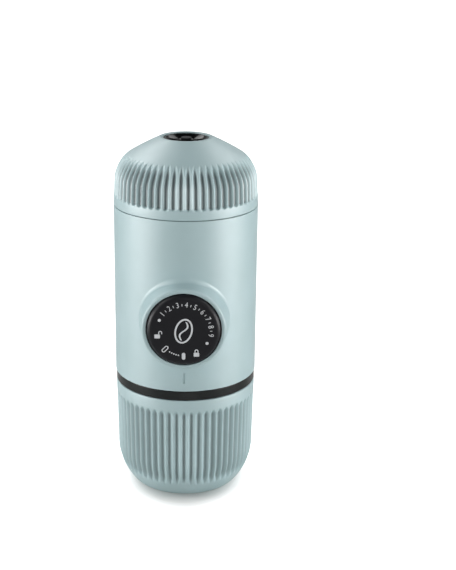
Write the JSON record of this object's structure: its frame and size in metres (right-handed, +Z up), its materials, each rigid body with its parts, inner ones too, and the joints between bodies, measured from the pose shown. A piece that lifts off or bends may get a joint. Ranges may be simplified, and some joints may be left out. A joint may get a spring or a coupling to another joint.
{
  "type": "handheld manual espresso maker",
  "caption": "Handheld hand-pump espresso maker: ribbed cup, dark portafilter band, smooth pump body with a round lock dial, ribbed domed water tank.",
  "frame": {"origin": "middle of the cup's foot, on the surface it stands on", "axes": "+Z up through the tank, -Y towards the dial, +X to the right when seen from the dial"},
  "size_m": [0.062, 0.071, 0.156],
  "materials": {
    "shell_paint": "satin paint on moulded plastic",
    "satin_black": "satin moulded",
    "dial_black": "soft gloss",
    "gloss_black": "gloss",
    "dial_print": "pad printed ink",
    "steel": "brushed",
    "spring_steel": "drawn wire",
    "brass": "turned",
    "silicone": "matte",
    "grey_nylon": "matte, glass filled",
    "white_acetal": "matte"
  },
  "bodies": {
    "cup": {"cup": "shell_paint"},
    "portafilter": {"portafilter": "satin_black", "outlet_nozzle": "satin_black", "cup_grip_ring": "silicone"},
    "basket": {"filter_basket": "steel"},
    "scoop": {"coffee_scoop": "satin_black"},
    "brew_gasket": {"brew_gasket": "silicone"},
    "main_body": {"main_case": "shell_paint", "tank_deck": "satin_black", "inlet_strainer": "white_acetal", "deck_screws": "steel", "pump_frame": "grey_nylon", "cylinder_liner": "steel", "inlet_valve_seat": "brass", "inlet_valve_spring": "spring_steel", "outlet_valve_seat": "brass", "outlet_valve_spring": "spring_steel", "inlet_o_ring": "silicone", "outlet_o_ring": "silicone", "brew_head": "satin_black", "brew_head_screws": "steel", "shower_screen": "steel", "screen_screw": "steel", "guide_bush": "white_acetal", "lock_ring": "white_acetal", "piston_spring": "spring_steel"},
    "piston": {"piston_rod": "grey_nylon", "piston_seal": "silicone", "rod_clip": "spring_steel"},
    "knob": {"knob_sleeve": "satin_black", "dial_cap": "dial_black"},
    "inlet_ball": {"inlet_valve_ball": "steel"},
    "outlet_ball": {"outlet_valve_ball": "steel"},
    "tank_seal": {"tank_seal": "silicone"},
    "tank": {"water_tank": "shell_paint", "vent_insert": "gloss_black", "vent_valve": "silicone"}
  },
  "joints": [
    {"name": "maker_lift", "type": "slide", "parent": "cup", "child": "portafilter", "axis": [0, 0, 1], "range_m": [0, 0.06]},
    {"name": "body_rise", "type": "slide", "parent": "portafilter", "child": "brew_gasket", "axis": [0, 0, 1], "range_m": [0, 0.02]},
    {"name": "body_turn", "type": "hinge", "parent": "brew_gasket", "child": "main_body", "pos_m": [0, 0, 0.0604], "axis": [0, 0, 1], "range_deg": [0, 360]},
    {"name": "basket_lift", "type": "slide", "parent": "portafilter", "child": "basket", "axis": [0, 0, 1], "range_m": [0, 0.008]},
    {"name": "scoop_lift", "type": "slide", "parent": "basket", "child": "scoop", "axis": [0, 0, 1], "range_m": [0, 0.008]},
    {"name": "tank_rise", "type": "slide", "parent": "main_body", "child": "tank_seal", "axis": [0, 0, 1], "range_m": [0, 0.02]},
    {"name": "tank_turn", "type": "hinge", "parent": "tank_seal", "child": "tank", "pos_m": [0, 0, 0.12725], "axis": [0, 0, 1], "range_deg": [0, 360]},
    {"name": "piston_stroke", "type": "slide", "parent": "main_body", "child": "piston", "axis": [0, -1, 0], "range_m": [0, 0.017], "deforming": ["piston_spring"]},
    {"name": "knob_turn", "type": "hinge", "parent": "piston", "child": "knob", "pos_m": [0, -0.04, 0.083], "axis": [0, -1, 0], "range_deg": [0, 45]},
    {"name": "inlet_valve_open", "type": "slide", "parent": "main_body", "child": "inlet_ball", "axis": [0, 0, -1], "range_m": [0, 0.0012], "stiffness_N_per_m": 100, "springref_m": -0.002, "deforming": ["inlet_valve_spring"]},
    {"name": "outlet_valve_open", "type": "slide", "parent": "main_body", "child": "outlet_ball", "axis": [0, 0, -1], "range_m": [0, 0.0012], "stiffness_N_per_m": 100, "springref_m": -0.002, "deforming": ["outlet_valve_spring"]}
  ],
  "couplings": [
    {"joint": "body_turn", "follows": "body_rise", "rad_per_m": 314.16},
    {"joint": "basket_lift", "follows": "body_rise", "ratio": 0.4},
    {"joint": "scoop_lift", "follows": "body_rise", "ratio": 0.4},
    {"joint": "tank_turn", "follows": "tank_rise", "rad_per_m": 314.16}
  ]
}
